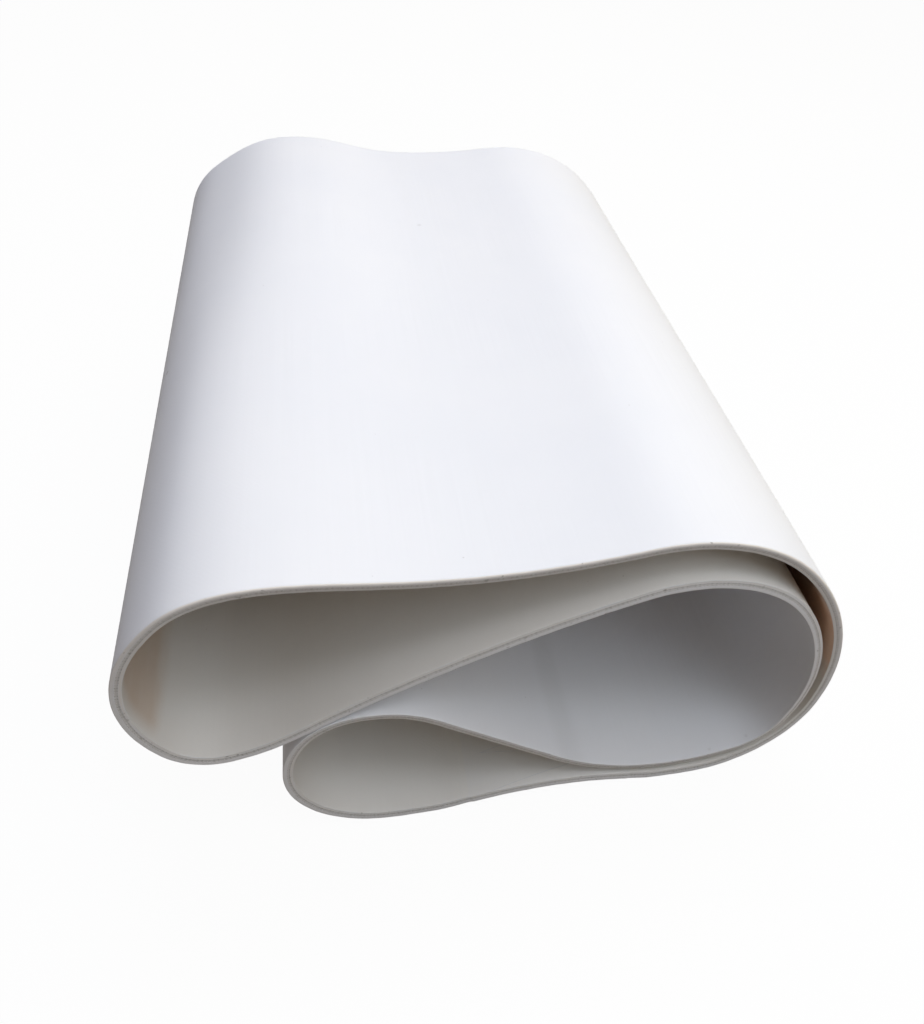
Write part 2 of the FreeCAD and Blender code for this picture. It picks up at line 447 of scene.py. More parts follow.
class Wiring:
    """Shorthand for adding and joining nodes in one node tree.

    A colour mix is joined by the numbers of its sockets: the factor and the two colours that it takes, and
    the colour that it gives.
    """

    MIX_INPUTS = (0, 6, 7)
    MIX_OUTPUT = 2
    NOISE_ROUGHNESS = 0.55
    NOISE_MIDDLE = 0.5

    def __init__(self, tree: bpy.types.NodeTree) -> None:
        """Keep the tree that the nodes go into."""
        self.tree = tree

    @classmethod
    def fresh(cls, owner: bpy.types.Material | bpy.types.World) -> "Wiring":
        """Empty the node tree of a material or a world, and wire that."""
        owner.use_nodes = True
        owner.node_tree.nodes.clear()
        return cls(owner.node_tree)

    def add(
        self, kind: str, inputs: dict[str | int, object] | None = None, **settings: object
    ) -> bpy.types.Node:
        """Add a node, set its options, and set or join its inputs.

        Args:
            kind: the node's type.
            inputs: values or output sockets for its inputs, by name or number.
            settings: options of the node itself.

        Returns:
            The node.
        """
        node = self.tree.nodes.new(kind)
        for key, value in settings.items():
            setattr(node, key, value)
        for key, value in (inputs or {}).items():
            if isinstance(value, Socket):
                self.tree.links.new(value, node.inputs[key])
            else:
                node.inputs[key].default_value = value
        return node

    def math(self, operation: str, first: object, second: object = 0.0, third: object = 0.0) -> Socket:
        """One number worked out from up to three."""
        return self.add("ShaderNodeMath", {0: first, 1: second, 2: third}, operation=operation).outputs[0]

    def spread(
        self, value: Socket, low: float, high: float, start: float = 0.0, end: float = 1.0
    ) -> Socket:
        """Map a value between low and high to start and end, held at both ends."""
        settings = {"Value": value, "From Min": low, "From Max": high, "To Min": start, "To Max": end}
        return self.add("ShaderNodeMapRange", settings, clamp=True).outputs["Result"]

    def parts(self, vector: Socket) -> tuple[Socket, ...]:
        """The three parts of a vector."""
        return tuple(self.add("ShaderNodeSeparateXYZ", {0: vector}).outputs)

    def noise(self, vector: Socket, scale: float, detail: float = 3.0) -> Socket:
        """Cloudy noise between 0 and 1."""
        settings = {"Vector": vector, "Scale": scale, "Detail": detail, "Roughness": self.NOISE_ROUGHNESS}
        return self.add("ShaderNodeTexNoise", settings).outputs[0]

    def streaks(self, vector: Socket, scales: tuple[float, float, float], detail: float) -> Socket:
        """Cloudy noise with its own scale along each axis."""
        stretched = self.add("ShaderNodeVectorMath", {0: vector, 1: scales}, operation="MULTIPLY")
        return self.noise(stretched.outputs[0], scale=1.0, detail=detail)

    def centred(self, noise: Socket) -> Socket:
        """Cloudy noise moved so that its middle value is 0."""
        return self.math("SUBTRACT", noise, self.NOISE_MIDDLE)

    def tint(self, factor: object, first: object, second: object, blend: str = "MIX") -> Socket:
        """A colour between two colours, or the two multiplied.

        Args:
            factor: share of the second colour.
            first: the colour at 0.
            second: the colour at 1.
            blend: how the second colour meets the first.

        Returns:
            The mixed colour.
        """
        values = [(*value, 1.0) if isinstance(value, tuple) else value for value in (factor, first, second)]
        inputs = dict(zip(self.MIX_INPUTS, values))
        node = self.add("ShaderNodeMix", inputs, data_type="RGBA", blend_type=blend)
        return node.outputs[self.MIX_OUTPUT]

    def lay_over(self, under: Socket, over: object, mask: Socket, share: float) -> Socket:
        """A colour with another one laid over it, by a share of a mask."""
        return self.tint(self.math("MULTIPLY", mask, share), under, over)

    def smooth(self, value: Socket) -> Socket:
        """Zero below 0, one above 1, and a smooth step between them."""
        node = self.add("ShaderNodeMapRange", {"Value": value}, interpolation_type="SMOOTHSTEP")
        return node.outputs["Result"]


class EffectGroup(Wiring):
    """A shader node group being wired. Sockets named in VECTORS carry vectors, and the others numbers."""

    VECTORS = ("Map", "Place", "Position")

    def __init__(self, name: str, takes: tuple[str, ...], gives: tuple[str, ...]) -> None:
        """Start the group with its inputs and outputs.

        Args:
            name: the group's name.
            takes: names of its inputs.
            gives: names of its outputs.
        """
        super().__init__(bpy.data.node_groups.new(name, "ShaderNodeTree"))
        for side, sockets in (("INPUT", takes), ("OUTPUT", gives)):
            for key in sockets:
                kind = "NodeSocketVector" if key in self.VECTORS else "NodeSocketFloat"
                self.tree.interface.new_socket(key, in_out=side, socket_type=kind)
        self.given = self.add("NodeGroupInput").outputs

    def close(self, results: dict[str, Socket]) -> bpy.types.NodeTree:
        """Join the results to the group's outputs and hand the group over."""
        self.add("NodeGroupOutput", results)
        return self.tree


class Effects:
    """The surface effects that several finishes share, each one a node group that is built once."""

    RAGGEDNESS = 0.8

    def __init__(self) -> None:
        """Build every group."""
        self.mottling = self._mottling()
        self.specks = self._specks()
        self.telegraph = self._telegraph()
        self.imprint = self._imprint()
        self.knife = self._knife()
        self.press = self._press()
        self.shading_band = self._shading_band()
        self.fleck = self._fleck()

    @staticmethod
    def _mottling() -> bpy.types.NodeTree:
        """Cloudy patches of two sizes, for colour and gloss that aren't quite even.

        Returns:
            The node group.
        """
        group = EffectGroup("pvc_mottling", takes=("Position",), gives=("Patches", "Grain"))
        broad = group.noise(group.given["Position"], scale=9.0, detail=4.0)
        grain = group.noise(group.given["Position"], scale=900.0, detail=2.0)
        return group.close({"Patches": group.spread(broad, low=0.3, high=0.7), "Grain": grain})

    @staticmethod
    def _specks() -> bpy.types.NodeTree:
        """Small dark specks: cells of which only the rarest show, each as a dot at its middle.

        Returns:
            The node group.
        """
        group = EffectGroup("dust_specks", takes=("Position", "Density", "Dot"), gives=("Mask",))
        given = group.given
        settings = {"Vector": given["Position"], "Scale": given["Density"]}
        cells = group.add("ShaderNodeTexVoronoi", settings).outputs
        chosen = group.add("ShaderNodeSeparateColor", {0: cells["Color"]}).outputs[0]
        rare = group.spread(chosen, low=0.93, high=0.96)
        near = group.math("SUBTRACT", 1.0, group.math("DIVIDE", cells["Distance"], given["Dot"]))
        dot = group.spread(near, low=0.0, high=0.5)
        return group.close({"Mask": group.math("MULTIPLY", rare, dot)})

    @staticmethod
    def _telegraph() -> bpy.types.NodeTree:
        """Weft yarns that show faintly through a cover as uneven lines across the belt.

        Returns:
            The node group.
        """
        group = EffectGroup("weft_lines", takes=("Map",), gives=("Lines", "Streaks"))
        belt_map = group.given["Map"]
        fine = group.streaks(belt_map, scales=(520.0, 5.0, 1.0), detail=2.0)
        place = group.streaks(belt_map, scales=(7.0, 9.0, 1.0), detail=1.0)
        shown = group.math("MULTIPLY", group.centred(fine), group.spread(place, low=0.4, high=0.7))
        streaks = group.streaks(belt_map, scales=(6.0, 260.0, 1.0), detail=3.0)
        return group.close({"Lines": shown, "Streaks": group.spread(streaks, low=0.62, high=0.78)})

    @staticmethod
    def _imprint() -> bpy.types.NodeTree:
        """Plain weave pressed into a face: the product of a sine along and a sine across.

        Returns:
            The node group.
        """
        group = EffectGroup("fabric_imprint", takes=("Map", "Pitch"), gives=("Height",))
        phase = group.math("DIVIDE", math.pi, group.given["Pitch"])
        ways = group.parts(group.given["Map"])[:2]
        waves = [group.math("SINE", group.math("MULTIPLY", way, phase)) for way in ways]
        product = group.math("MULTIPLY", *waves)
        return group.close({"Height": group.math("MULTIPLY_ADD", product, 0.5, 0.5)})

    @staticmethod
    def _knife() -> bpy.types.NodeTree:
        """Marks of the slitting knife: lines along the cut, and dark nicks here and there.

        Returns:
            The node group.
        """
        group = EffectGroup("knife_marks", takes=("Map", "Depth"), gives=("Lines", "Nicks"))
        along, across, _ = group.parts(group.given["Map"])
        cut = group.add("ShaderNodeCombineXYZ", {0: along, 1: group.given["Depth"], 2: across}).outputs[0]
        lines = group.streaks(cut, scales=(60.0, 2600.0, 3.0), detail=3.0)
        spots = group.streaks(cut, scales=(260.0, 420.0, 3.0), detail=2.0)
        return group.close({"Lines": lines, "Nicks": group.spread(spots, low=0.68, high=0.76)})

    @staticmethod
    def _press() -> bpy.types.NodeTree:
        """The zone that the splice press heated, by distance round the belt from the splice.

        Returns:
            The node group.
        """
        group = EffectGroup("press_mark", takes=("Map", "Splice", "Half Belt", "Half Zone"), gives=("Zone",))
        given = group.given
        along = group.parts(given["Map"])[0]
        apart = group.math("PINGPONG", group.math("SUBTRACT", along, given["Splice"]), given["Half Belt"])
        inside = group.math("SUBTRACT", given["Half Zone"], apart)
        return group.close({"Zone": group.spread(inside, low=0.0, high=1.0 * MM)})

    @staticmethod
    def _shading_band() -> bpy.types.NodeTree:
        """A band of painted light or shade across the belt that fades in after one station and out before
        another, unevenly.

        It also fades towards the belt's two slit edges, over its inset.

        Returns:
            The node group.
        """
        takes = ("Map", "Start", "End", "Fade In", "Fade Out", "Half Width", "Inset")
        group = EffectGroup("painted_shading_band", takes, gives=("Mask",))
        given = group.given
        along, across, _ = group.parts(given["Map"])
        cloud = group.streaks(given["Map"], scales=(38.0, 11.0, 1.0), detail=3.0)
        after = group.math("DIVIDE", group.math("SUBTRACT", along, given["Start"]), given["Fade In"])
        before = group.math("DIVIDE", group.math("SUBTRACT", given["End"], along), given["Fade Out"])
        inside = group.math("ADD", group.math("MINIMUM", after, before), group.centred(cloud))
        patchy = group.spread(cloud, low=0.2, high=0.75, start=0.55, end=1.0)
        body = group.math("MULTIPLY", group.smooth(inside), patchy)
        clear = group.math("SUBTRACT", given["Half Width"], group.math("ABSOLUTE", across))
        inner = group.smooth(group.math("DIVIDE", clear, given["Inset"]))
        return group.close({"Mask": group.math("MULTIPLY", body, inner)})

    @classmethod
    def _fleck(cls) -> bpy.types.NodeTree:
        """One small mark at a known place on the belt: full at its middle, gone past its radius, ragged.

        Returns:
            The node group.
        """
        group = EffectGroup("single_fleck", takes=("Map", "Place", "Radius"), gives=("Mask",))
        given = group.given
        ends = {0: given["Map"], 1: given["Place"]}
        apart = group.add("ShaderNodeVectorMath", ends, operation="DISTANCE").outputs["Value"]
        share = group.math("DIVIDE", apart, given["Radius"])
        ragged = group.math("MULTIPLY_ADD", group.noise(given["Map"], scale=700.0), cls.RAGGEDNESS, share)
        return group.close({"Mask": group.spread(ragged, low=1.3, high=0.7)})


@dataclass(frozen=True)
class SpliceMark:
    """Where the splice press left its mark, for the finishes that show it, with the belt's half sizes.

    Attributes:
        station: middle of the splice along the belt.
        half_belt: half the belt's length.
        half_width: half the belt's width.
        half_zone: half the length of the zone that the press heated.
    """

    station: float
    half_belt: float
    half_width: float
    half_zone: float


class Surface:
    """A material being wired, with the coordinates and the shared effects that its nodes read."""

    SPECULAR_LEVEL = 0.12

    def __init__(self, name: str, effects: Effects) -> None:
        """Start an empty material."""
        self.effects = effects
        self.material = bpy.data.materials.new(name)
        self.wiring = Wiring.fresh(self.material)
        self.position = self.wiring.add("ShaderNodeTexCoord").outputs["Object"]
        self.map = self.wiring.add("ShaderNodeUVMap", uv_map="belt_map").outputs[0]

    def value(self, name: str) -> Socket:
        """A named number that the mesh carries."""
        return self.wiring.add("ShaderNodeAttribute", attribute_name=name).outputs["Fac"]

    def group(self, tree: bpy.types.NodeTree, inputs: dict[str, object]) -> bpy.types.NodeOutputs:
        """Place a shared effect and give its outputs."""
        return self.wiring.add("ShaderNodeGroup", inputs, node_tree=tree).outputs

    def weave(self, pitch: float) -> Socket:
        """The height of a plain weave."""
        return self.group(self.effects.imprint, {"Map": self.map, "Pitch": pitch})["Height"]

    def knife_marks(self) -> bpy.types.NodeOutputs:
        """The lines and the nicks that the slitting knife left."""
        return self.group(self.effects.knife, {"Map": self.map, "Depth": self.value("depth")})

    def press_zone(self, mark: SpliceMark) -> Socket:
        """The mask of the zone that the splice press heated."""
        sizes = {"Splice": mark.station, "Half Belt": mark.half_belt, "Half Zone": mark.half_zone}
        return self.group(self.effects.press, {"Map": self.map, **sizes})["Zone"]

    def finish(self, colour: Socket, roughness: Socket, height: Socket, depth: float) -> bpy.types.Material:
        """Join colour, roughness and relief to a Principled shader.

        Args:
            colour: base colour.
            roughness: roughness.
            height: relief between 0 and 1.
            depth: how deep the relief is, in metres.

        Returns:
            The finished material.
        """
        bump = self.wiring.add("ShaderNodeBump", {"Height": height, "Distance": depth, "Strength": 1.0})
        looks = {"Base Color": colour, "Roughness": roughness, "Specular IOR Level": self.SPECULAR_LEVEL}
        shader = self.wiring.add("ShaderNodeBsdfPrincipled", {**looks, "Normal": bump.outputs[0]})
        self.wiring.add("ShaderNodeOutputMaterial", {"Surface": shader.outputs[0]})
        return self.material


@dataclass(frozen=True)
class PaintedShading:
    """A band of painted light or shade laid across a face.

    Attributes:
        start: where it starts along the belt.
        end: where it ends.
        fade_in: distance over which it fades in.
        fade_out: distance over which it fades out.
        inset: distance over which it fades towards the slit edges.
        colour: its colour.
        strength: how much of the face's own colour it hides.
    """

    start: float
    end: float
    fade_in: float
    fade_out: float
    inset: float
    colour: Colour
    strength: float


@dataclass(frozen=True)
class Fleck:
    """One small dark mark on a face.

    Attributes:
        station: its place along the belt.
        across: its place across the belt.
        radius: its size.
        strength: how much of the face's own colour it hides.
    """

    station: float
    across: float
    radius: float
    strength: float


@dataclass(frozen=True)
class PvcFinish:
    """Calendered PVC: a satin or matt face, and a duller cut edge.

    Attributes:
        name: the finish's name.
        colour: colour of the face.
        shade: colour of the face's patches.
        cut: colour of the cut edge.
        rim_glow: painted glow, a cream colour on the cut edge next to the face where the belt is worn,
            standing for light that shines through the edge there.
        roughness: roughness of the face.
        imprint: how strongly the face shows the weave, 0 to 1.
        pitch: the weave's pitch.
        painted_shading: bands of painted light and shade laid across the face.
        flecks: single small marks.
    """

    DUST_COLOUR = (0.30, 0.27, 0.24)
    DUST_DENSITY = 130.0
    DUST_DOT = 0.07
    DUST_SHARE = 0.25
    NICK_COLOUR = (0.22, 0.19, 0.17)
    NICK_SHARE = 0.5
    WEFT_SHARE = 0.05
    SCUFF_SHARE = 0.05
    PRESS_SHARE = 0.25
    PATCH_ROUGHNESS = 0.10
    PRESS_ROUGHNESS = -0.12
    CUT_ROUGHNESS = 0.75
    LINE_RANGE = (0.35, 0.7)
    GRAIN_RELIEF = 0.25
    WEFT_RELIEF = 0.25
    RELIEF_DEPTH = 0.06 * MM

    name: str
    colour: Colour
    shade: Colour
    cut: Colour
    rim_glow: Colour
    roughness: float
    imprint: float
    pitch: float
    painted_shading: tuple[PaintedShading, ...] = ()
    flecks: tuple[Fleck, ...] = ()

    def material(self, effects: Effects, mark: SpliceMark) -> bpy.types.Material:
        """Wire the finish.

        Args:
            effects: the shared groups.
            mark: the splice press's mark.

        Returns:
            The material.
        """
        surface = Surface(self.name, effects)
        wiring = surface.wiring
        edge = surface.value("edge")
        mottling = surface.group(effects.mottling, {"Position": surface.position})
        specks = {"Position": surface.position, "Density": self.DUST_DENSITY, "Dot": self.DUST_DOT}
        dust = surface.group(effects.specks, specks)["Mask"]
        weft = surface.group(effects.telegraph, {"Map": surface.map})
        knife = surface.knife_marks()
        zone = surface.press_zone(mark)
        face = wiring.tint(mottling["Patches"], self.colour, self.shade)
        lines = wiring.math("MULTIPLY_ADD", weft["Lines"], self.WEFT_SHARE, 1.0)
        face = wiring.tint(1.0, face, lines, "MULTIPLY")
        face = wiring.lay_over(face, self.cut, weft["Streaks"], self.SCUFF_SHARE)
        face = wiring.lay_over(face, self.DUST_COLOUR, dust, self.DUST_SHARE)
        face = wiring.lay_over(face, self.cut, zone, self.PRESS_SHARE)
        face = self._marked(face, surface, mark.half_width)
        slit = wiring.tint(wiring.spread(knife["Lines"], *self.LINE_RANGE), self.cut, self.shade)
        # Painted glow: a cream colour laid on the cut edge next to the face where the belt is worn, standing
        # for light shining through the edge.
        slit = wiring.tint(surface.value("rim_glow"), slit, self.rim_glow)
        slit = wiring.lay_over(slit, self.NICK_COLOUR, knife["Nicks"], self.NICK_SHARE)
        colour = wiring.tint(edge, face, slit)
        smoothest = self.roughness - 0.5 * self.PATCH_ROUGHNESS
        rough = wiring.math("MULTIPLY_ADD", mottling["Patches"], self.PATCH_ROUGHNESS, smoothest)
        rough = wiring.math("MULTIPLY_ADD", zone, self.PRESS_ROUGHNESS, rough)
        rough = wiring.math("MAXIMUM", rough, wiring.math("MULTIPLY", edge, self.CUT_ROUGHNESS))
        pressed = wiring.math("MULTIPLY", surface.weave(self.pitch), self.imprint)
        relief = wiring.math("MULTIPLY_ADD", mottling["Grain"], self.GRAIN_RELIEF, pressed)
        relief = wiring.math("MULTIPLY_ADD", weft["Lines"], self.WEFT_RELIEF, relief)
        relief = wiring.math("MULTIPLY", relief, wiring.math("SUBTRACT", 1.0, zone))
        cut_relief = wiring.math("SUBTRACT", knife["Lines"], knife["Nicks"])
        relief = wiring.math("ADD", relief, wiring.math("MULTIPLY", edge, cut_relief))
        return surface.finish(colour, rough, relief, self.RELIEF_DEPTH)

    def _marked(self, face: Socket, surface: Surface, half_width: float) -> Socket:
        """Lay the painted light and shade and the flecks over the face's colour.

        Args:
            face: the face's own colour.
            surface: the material that is being wired.
            half_width: half the belt's width, for painted bands that fade towards its edges.

        Returns:
            The marked colour.
        """
        effects = surface.effects
        # Painted light and shade: each band tints the face to stand for light or shade falling there.
        for glow_or_shade in self.painted_shading:
            places = {"Start": glow_or_shade.start, "End": glow_or_shade.end, "Half Width": half_width}
            fades = {"Fade In": glow_or_shade.fade_in, "Fade Out": glow_or_shade.fade_out, "Inset": glow_or_shade.inset}
            rubbed_or_painted = surface.group(effects.shading_band, {"Map": surface.map, **places, **fades})
            face = surface.wiring.lay_over(face, glow_or_shade.colour, rubbed_or_painted["Mask"], glow_or_shade.strength)
        for fleck in self.flecks:
            settings = {"Place": (fleck.station, fleck.across, 0.0), "Radius": fleck.radius}
            spot = surface.group(effects.fleck, {"Map": surface.map, **settings})
            face = surface.wiring.lay_over(face, self.DUST_COLOUR, spot["Mask"], fleck.strength)
        return face


@dataclass(frozen=True)
class FabricFinish:
    """Woven polyester ply: warp and weft threads, seen only as cut ends at the belt's edges.

    Attributes:
        name: the finish's name.
        thread: colour of a thread.
        gap: colour between the threads.
        pitch: the weave's pitch.
    """

    THREAD_RANGE = (0.3, 0.8)
    LINE_RANGE = (0.2, 0.8)
    ROUGHNESS_RANGE = (0.7, 0.95)
    SOAKED_SHARE = 0.5
    NICK_COLOUR = (0.25, 0.23, 0.21)
    NICK_SHARE = 0.4
    RELIEF_DEPTH = 0.15 * MM

    name: str
    thread: Colour
    gap: Colour
    pitch: float

    def material(self, effects: Effects, mark: SpliceMark) -> bpy.types.Material:
        """Wire the finish.

        Args:
            effects: the shared groups.
            mark: the splice press's mark, under which the threads are soaked with PVC.

        Returns:
            The material.
        """
        surface = Surface(self.name, effects)
        wiring = surface.wiring
        knife = surface.knife_marks()
        threads = wiring.math("MAXIMUM", surface.weave(self.pitch), surface.value("yarn"))
        colour = wiring.tint(wiring.spread(threads, *self.THREAD_RANGE), self.gap, self.thread)
        colour = wiring.lay_over(colour, self.thread, surface.press_zone(mark), self.SOAKED_SHARE)
        colour = wiring.lay_over(colour, self.NICK_COLOUR, knife["Nicks"], self.NICK_SHARE)
        rough = wiring.spread(knife["Lines"], *self.LINE_RANGE, *self.ROUGHNESS_RANGE)
        return surface.finish(colour, rough, threads, self.RELIEF_DEPTH)


@dataclass
class Layer:
    """One layer of the laminate: a closed section carried round the fold line.

    Attributes:
        node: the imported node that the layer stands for.
        slot: its material slot in the record.
        top: depth of its carrying side below the carrying face.
        bottom: depth of its pulley side.
        round_top: rounding of the cut corners on its carrying side.
        worn_top: the same rounding where the belt is worn.
        round_bottom: rounding of the cut corners on its pulley side.
        recess: how far its cut edge lies behind the slit line.
        cut: how its cut edge looks.
        rows: points across each face.
        columns: sections round the belt.
        yarn_pitch: distance between the ends of the weft yarns.
        yarn_stand: how far a yarn's end stands out.
    """

    CORNER_POINTS = 6
    YARN_COLUMNS = 6
    ROUND_OFF = 1e-9

    node: str
    slot: str
    top: float
    bottom: float
    round_top: float = 0.0
    worn_top: float = 0.0
    round_bottom: float = 0.0
    recess: float = 0.0
    cut: EdgeCut = EdgeCut.CLEAN
    rows: int = 27
    columns: int = 1200
    yarn_pitch: float = 2.0 * MM
    yarn_stand: float = 0.12 * MM

    def section(self, half_width: float, round_top: float) -> np.ndarray:
        """The closed section: one face, a cut edge, the other face, the other cut edge.

        A rounded corner is a quarter circle. Each face's points are spaced by a sine, closer near its edges.

        Args:
            half_width: half the belt's width.
            round_top: rounding of the corners on the carrying side.

        Returns:
            Rows of depth, distance across, share of cut edge, and share of painted rim glow for the section's
            corners.
        """
        edge = half_width - self.recess
        spacing = np.sin(np.linspace(-0.5, 0.5, self.rows) * math.pi)
        quarter = np.linspace(0.0, 0.5 * math.pi, self.CORNER_POINTS)
        depths, widths = [], []
        for level, radius, inward in ((self.top, round_top, 1.0), (self.bottom, self.round_bottom, -1.0)):
            bend = quarter[1:] if radius else quarter[:0]
            fall = level + inward * radius * (1.0 - np.cos(bend))
            out = inward * (edge - radius + radius * np.sin(bend))
            depths += [fall[::-1], np.full(self.rows, level), fall]
            widths += [-out[::-1], inward * (edge - radius) * spacing, out]
        depth = np.concatenate(depths)
        across = np.concatenate(widths)
        cut_start = edge - 0.5 * max(round_top, self.round_bottom) - self.ROUND_OFF
        cut_share = (np.abs(across) >= cut_start).astype(float)
        # Share of the cut edge near the outer face that shows the painted rim glow.
        outer = self.top if round_top else self.bottom
        rim_glow = cut_share * np.clip(1.0 - np.abs(depth - outer) / (self.bottom - self.top), 0.0, 1.0)
        return np.stack([depth, across, cut_share, rim_glow])

    def build(self, sheet: BondedSheet, material: bpy.types.Material) -> bpy.types.Object:
        """Carry the section round the fold line and put the piece in the scene.

        The section goes over from its slit form to its worn form where the belt is worn, and its painted rim
        glow shows only there. A ply's yarn ends stand out of its cut edge as a squared cosine of the distance
        along the belt.

        Args:
            sheet: the laminate's shape.
            material: the layer's finish.

        Returns:
            The piece, riding the belt's body in place of its node.
        """
        length = sheet.line.length
        slit = self.section(sheet.half_width, self.round_top)
        worn = self.section(sheet.half_width, self.worn_top or self.round_top)
        columns = self.columns
        if self.cut is EdgeCut.YARN_ENDS:
            columns = self.YARN_COLUMNS * round(length / self.yarn_pitch)
        station = np.arange(columns)[:, None] * length / columns
        rubbed_or_painted = sheet.wear.share(station)[None]
        depth, across, cut_share, rim_glow = slit[:, None, :] + rubbed_or_painted * (worn - slit)[:, None, :]
        yarn = np.zeros_like(depth)
        if self.cut is EdgeCut.YARN_ENDS:
            ends = np.cos(math.pi * np.arange(columns) / self.YARN_COLUMNS)[:, None] ** 2
            yarn = ends * cut_share
        rings = sheet.place(station, across + np.sign(across) * self.yarn_stand * yarn, depth)
        sheet_map = np.stack(np.broadcast_arrays(station, across), axis=-1)
        values = {"edge": cut_share, "rim_glow": rim_glow * rubbed_or_painted[0], "depth": depth, "yarn": yarn}
        mesh = grid_mesh(self.node, rings, sheet_map, values, length)
        return put_in_scene(f"{self.node}_dressed", mesh, material, self.node)


@dataclass
class SpliceWeld:
    """The seam of fused PVC along the finger splice, a low bead on both faces.

    Attributes:
        node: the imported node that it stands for.
        slot: its material slot in the record.
        finger_pitch: distance between fingers.
        half_slit: half the seam's width, measured along the belt.
        bead: how far the bead stands proud of each face.
        round_top: rounding of its ends at the carrying face, as on the cover beside it.
    """

    FINGER_COLUMNS = 16
    FACE_POINTS = 7
    SEARCH_REACH = 1.5
    SEARCH_POINTS = 301

    node: str = "splice_weld"
    slot: str = "weld_pvc"
    finger_pitch: float = 25.0 * MM
    half_slit: float = 1.15 * MM
    bead: float = 0.12 * MM
    round_top: float = 0.4 * MM

    def build(self, sheet: BondedSheet, material: bpy.types.Material) -> bpy.types.Object:
        """Carry a bead-shaped section along the zigzag of the fingers.

        Across the belt the seam goes to and fro as a triangle wave. Its section runs from face to face, and
        each face is a parabola that stands proud at the middle. Where the cover's cut corner is rounded by a
        quarter circle, the seam's ends draw back by as much.

        Args:
            sheet: the laminate's shape.
            material: the seam's finish.

        Returns:
            The piece, riding the belt's body in place of its node.
        """
        low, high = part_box(self.node)
        reach = 0.5 * (high.x - low.x) - self.half_slit
        search = np.linspace(-self.SEARCH_REACH, self.SEARCH_REACH, self.SEARCH_POINTS)
        nearby = sheet.splice_station + search * reach
        places = sheet.line.at(nearby)[0][:, 0]
        fingers = round(2.0 * sheet.half_width / self.finger_pitch)
        across = np.linspace(-sheet.half_width, sheet.half_width, fingers * self.FINGER_COLUMNS + 1)
        share = np.mod((across + sheet.half_width) / self.finger_pitch, 1.0)
        wave = 1.0 - 2.0 * np.abs(2.0 * share - 1.0)
        station = np.interp(0.5 * (low.x + high.x) + reach * wave, places, nearby)
        side = np.linspace(-1.0, 1.0, self.FACE_POINTS)
        proud = self.bead * (1.0 - side ** 2)
        offset = np.concatenate([side, side[::-1]]) * self.half_slit
        depth = np.concatenate([-proud, sheet.thickness + proud])
        height = np.clip(self.round_top - depth, 0.0, self.round_top)
        draw_back = self.round_top - np.sqrt(self.round_top ** 2 - height ** 2)
        width = across[:, None] * (1.0 - draw_back[None, :] / sheet.half_width)
        along = station[:, None] + offset[None, :]
        rings = sheet.place(along, width, depth[None, :])
        sheet_map = np.stack([along, width], axis=-1)
        zeros = np.zeros_like(along)
        ends = zeros.copy()
        ends[[0, -1]] = 1.0
        values = {"edge": ends, "rim_glow": zeros, "depth": zeros + depth, "yarn": zeros}
        mesh = grid_mesh(self.node, rings, sheet_map, values, None)
        return put_in_scene(f"{self.node}_dressed", mesh, material, self.node)


def add_object(name: str, data: bpy.types.ID) -> bpy.types.Object:
    """Put a mesh, a lamp or a camera in the scene."""
    thing = bpy.data.objects.new(name, data)
    bpy.context.scene.collection.objects.link(thing)
    return thing


def placement(place: tuple[float, float, float], axes: list[np.ndarray]) -> Matrix:
    """Where a thing is and how it is turned, from its place and the directions of its own X, Y and Z."""
    return Matrix.Translation(place) @ Matrix(np.stack(axes, axis=1).tolist()).to_4x4()


def put_in_scene(
    name: str, mesh: bpy.types.Mesh, material: bpy.types.Material, node: str
) -> bpy.types.Object:
    """Make a piece of a mesh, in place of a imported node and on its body.

    Args:
        name: the piece's name.
        mesh: its mesh, already in place.
        material: its finish.
        node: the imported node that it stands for.

    Returns:
        The piece.
    """
    mesh.materials.append(material)
    piece = add_object(name, mesh)
    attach(piece, BODY)
    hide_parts(node)
    LOG.info("%s: %d faces", name, len(mesh.polygons))
    return piece


@dataclass(frozen=True)
class Softbox:
    """A square lamp that faces the middle of the belt.

    Attributes:
        name: the lamp's name.
        place: where it hangs.
        side: its side.
        power: its power in watts.
        colour: its colour.
    """

    AIM = (0.0, 0.0, 0.1)

    name: str
    place: tuple[float, float, float]
    side: float
    power: float
    colour: Colour

    def hang(self) -> None:
        """Put the lamp in the scene, turned so that its own -Z points at the belt."""
        data = bpy.data.lights.new(self.name, "AREA")
        data.size = self.side
        data.energy = self.power
        data.color = self.colour
        away = np.array(self.place) - np.array(self.AIM)
        away /= np.linalg.norm(away)
        right = np.cross([0.0, 1.0, 0.0], away)
        right /= np.linalg.norm(right)
        lamp = add_object(self.name, data)
        lamp.matrix_world = placement(self.place, [right, np.cross(away, right), away])


